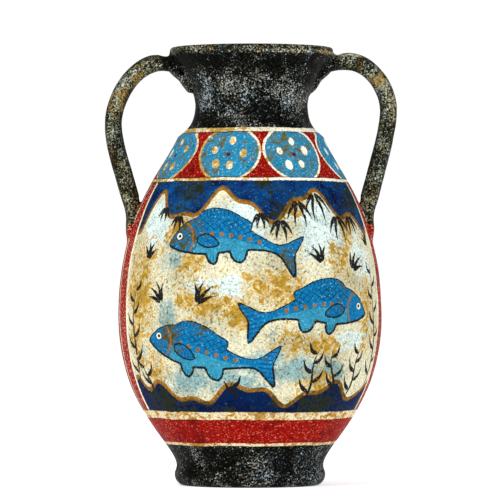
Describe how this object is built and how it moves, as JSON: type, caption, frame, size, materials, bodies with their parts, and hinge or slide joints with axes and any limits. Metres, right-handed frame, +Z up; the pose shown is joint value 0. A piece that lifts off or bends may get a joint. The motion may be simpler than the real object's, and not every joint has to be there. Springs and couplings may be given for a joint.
{
  "type": "two-handled vase",
  "caption": "Tall hollow ceramic vase with a wide belly, a narrow neck, a rolled lip and an arched handle at each side, painted in bands around a picture of fish among rocks.",
  "frame": {"origin": "centre of the ring that the vase stands on", "axes": "+Z up along the vase's axis, -Y to the painted front, +X and -X to the handles"},
  "size_m": [0.1679, 0.151, 0.25],
  "materials": {
    "painted_ceramic": "hand-painted slips in black, cream, blue and red under a thin semi-matt glaze"
  },
  "bodies": {
    "root": {"vase": "painted_ceramic"}
  },
  "joints": []
}
